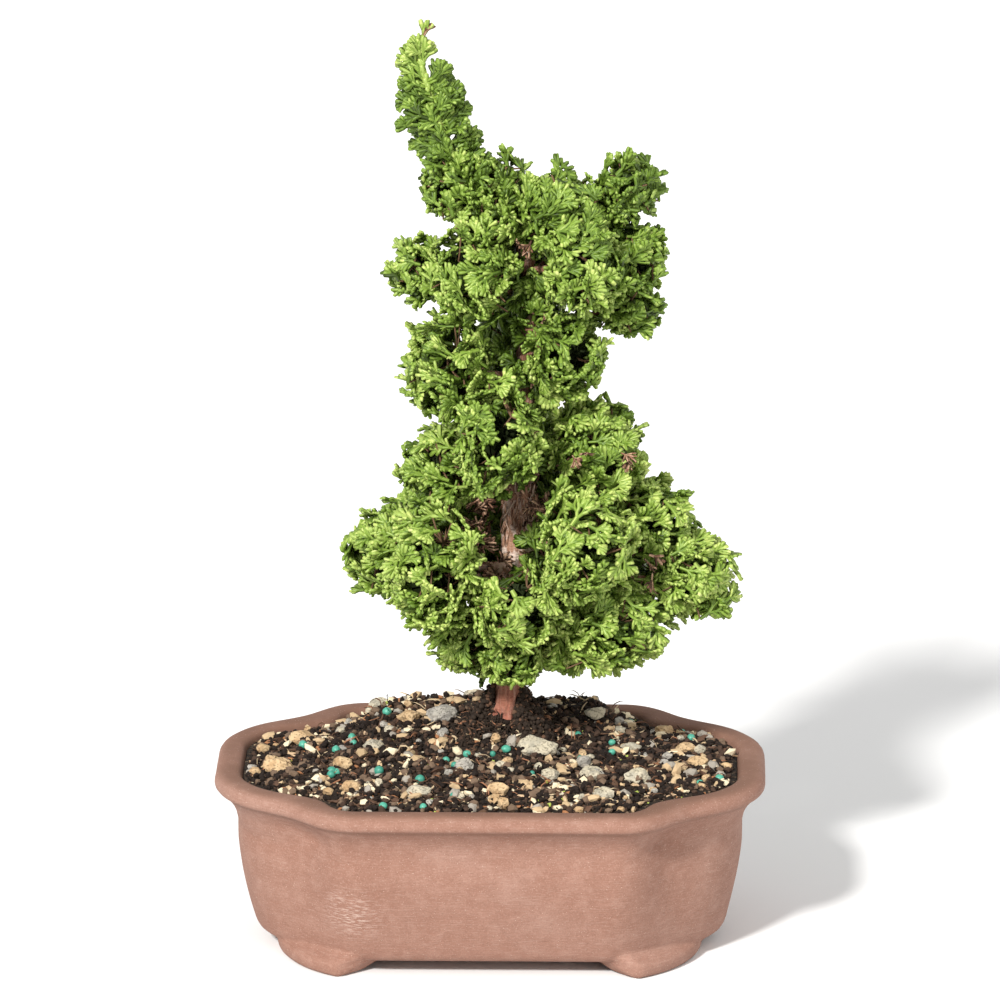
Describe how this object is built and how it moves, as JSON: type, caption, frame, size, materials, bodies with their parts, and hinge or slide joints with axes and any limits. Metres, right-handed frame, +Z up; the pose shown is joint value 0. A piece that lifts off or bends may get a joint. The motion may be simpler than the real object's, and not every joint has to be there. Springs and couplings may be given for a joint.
{
  "type": "potted arborvitae",
  "caption": "Small arborvitae grown as a bonsai: upright trunk with a leaning top, layered scale-leaf foliage, gritty soil, and a lipped unglazed clay pot on four feet.",
  "frame": {"origin": "middle of the pot's footprint, on the plane of the feet's soles", "axes": "+Z up the tree, X along the pot's long side with +X to the right seen from the front, front of the pot towards -Y"},
  "size_m": [0.202, 0.145, 0.3465],
  "materials": {
    "clay": "matt unglazed clay",
    "soil": "gritty, dull",
    "bark": "rough fibrous bark",
    "foliage": "satin scale leaves"
  },
  "bodies": {
    "root": {"pot": "clay", "soil": "soil", "trunk": "bark", "bough_top_horn": "bark", "bough_upper_right_end": "bark", "bough_upper_right_low": "bark", "bough_upper_right_front": "bark", "bough_upper_left_lobe": "bark", "bough_waist_left": "bark", "bough_right_shoulder": "bark", "bough_far_left": "bark", "bough_left_front": "bark", "bough_right_outer": "bark", "bough_far_right": "bark", "bough_right_front": "bark", "bough_low_right": "bark", "bough_back_left": "bark", "bough_back_right": "bark", "leader_tip": "foliage", "leader_left": "foliage", "leader_right": "foliage", "leader_low": "foliage", "leader_base": "foliage", "leader_neck": "foliage", "top_middle": "foliage", "top_horn": "foliage", "upper_right_end": "foliage", "upper_right_low": "foliage", "upper_right_front": "foliage", "upper_left_lobe": "foliage", "upper_left": "foliage", "upper_back": "foliage", "waist_left": "foliage", "waist_right": "foliage", "waist_back": "foliage", "centre_front": "foliage", "left_shoulder": "foliage", "right_shoulder": "foliage", "shoulder_back": "foliage", "far_left": "foliage", "left_front": "foliage", "right_outer": "foliage", "far_right": "foliage", "right_front": "foliage", "low_right": "foliage", "low_front": "foliage", "low_left": "foliage", "low_middle": "foliage", "back_left": "foliage", "back_right": "foliage", "low_back": "foliage"}
  },
  "joints": []
}
